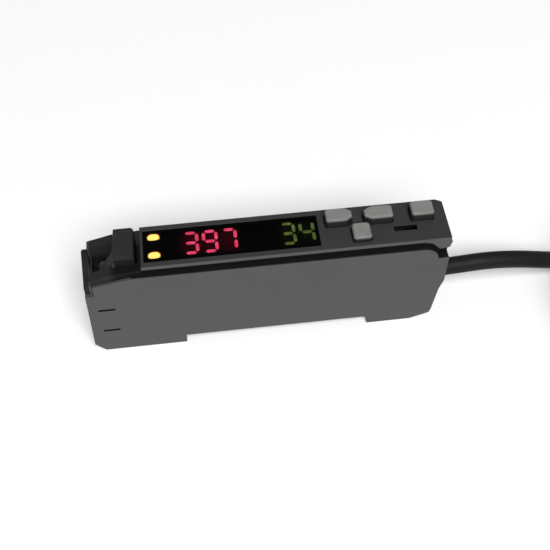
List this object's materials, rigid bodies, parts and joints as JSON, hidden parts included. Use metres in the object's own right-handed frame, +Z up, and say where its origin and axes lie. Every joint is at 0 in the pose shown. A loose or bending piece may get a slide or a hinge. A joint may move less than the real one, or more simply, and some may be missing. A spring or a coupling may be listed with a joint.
{
  "type": "fibre optic sensor amplifier",
  "caption": "Slim rail-mounted fibre optic sensor amplifier with a red and green digital display, push keys, a fibre lock lever and a fixed coiled cable.",
  "frame": {"origin": "middle of the body's length and width, at the underside of the feet", "axes": "+X along the body to the cable end, +Y to the rear side, +Z up through the panel"},
  "size_m": [0.1414, 0.0474, 0.0265],
  "materials": {
    "case_grey": "fine moulded texture",
    "frame_black": "satin moulded black",
    "panel_grey": "fine moulded texture",
    "key_grey": "satin moulded grey",
    "lever_grey": "satin moulded dark grey",
    "window_black": "polished tinted window",
    "display_black": "black display face",
    "red_light": "lit red bars",
    "green_light": "lit green bars",
    "amber_light": "lit amber light guide",
    "board_green": "solder mask",
    "chip_black": "moulded package",
    "white_plastic": "moulded connector",
    "spring_steel": "drawn steel",
    "led_clear": "clear epoxy",
    "cable_black": "matt cable jacket",
    "tie_black": "woven strap",
    "lead_mix": "coloured lead insulation"
  },
  "bodies": {
    "housing": {"main_case": "case_grey", "side_cover": "case_grey", "chassis_frame": "frame_black", "top_panel": "panel_grey", "display_window": "window_black", "red_display": "display_black", "green_display": "display_black", "red_digits": "red_light", "green_digits": "green_light", "output_lamp_rear": "amber_light", "output_lamp_front": "amber_light", "display_board": "board_green", "main_board": "board_green", "board_connector": "white_plastic", "controller_chip": "chip_black", "output_driver": "chip_black", "supply_capacitor": "chip_black", "cable_terminal": "white_plastic", "left_switch": "chip_black", "right_switch": "chip_black", "mode_switch": "chip_black", "set_switch": "chip_black", "slide_switch": "spring_steel", "emitter_holder": "frame_black", "receiver_holder": "frame_black", "emitter_led": "led_clear", "receiver_diode": "led_clear", "fibre_clamp": "spring_steel", "lever_pin": "spring_steel", "hook_spring": "spring_steel", "cable_grommet": "cable_black", "cable_lead": "cable_black", "cable_coil": "cable_black", "coil_tie": "tie_black", "lead_wires": "lead_mix"},
    "left_key_body": {"left_key": "key_grey", "left_plunger": "white_plastic"},
    "right_key_body": {"right_key": "key_grey", "right_plunger": "white_plastic"},
    "mode_key_body": {"mode_key": "key_grey", "mode_plunger": "white_plastic"},
    "set_key_body": {"set_key": "key_grey", "set_plunger": "white_plastic"},
    "slide_knob_body": {"slide_knob": "frame_black"},
    "lever_body": {"lock_lever": "lever_grey"},
    "hook_body": {"rail_hook": "frame_black"}
  },
  "joints": [
    {"name": "left_key_press", "type": "slide", "parent": "housing", "child": "left_key_body", "axis": [0, 0, -1], "range_m": [0, 0.00035], "stiffness_N_per_m": 800},
    {"name": "right_key_press", "type": "slide", "parent": "housing", "child": "right_key_body", "axis": [0, 0, -1], "range_m": [0, 0.00035], "stiffness_N_per_m": 800},
    {"name": "mode_key_press", "type": "slide", "parent": "housing", "child": "mode_key_body", "axis": [0, 0, -1], "range_m": [0, 0.00035], "stiffness_N_per_m": 800},
    {"name": "set_key_press", "type": "slide", "parent": "housing", "child": "set_key_body", "axis": [0, 0, -1], "range_m": [0, 0.00035], "stiffness_N_per_m": 800},
    {"name": "mode_slide", "type": "slide", "parent": "housing", "child": "slide_knob_body", "axis": [1, 0, 0], "range_m": [0, 0.002]},
    {"name": "lever_swing", "type": "hinge", "parent": "housing", "child": "lever_body", "pos_m": [-0.02911, 0, 0.0173], "axis": [0, -1, 0], "range_deg": [0, 45]},
    {"name": "hook_slide", "type": "slide", "parent": "housing", "child": "hook_body", "axis": [1, 0, 0], "range_m": [0, 0.0015], "stiffness_N_per_m": 600, "deforming": ["hook_spring"]}
  ]
}
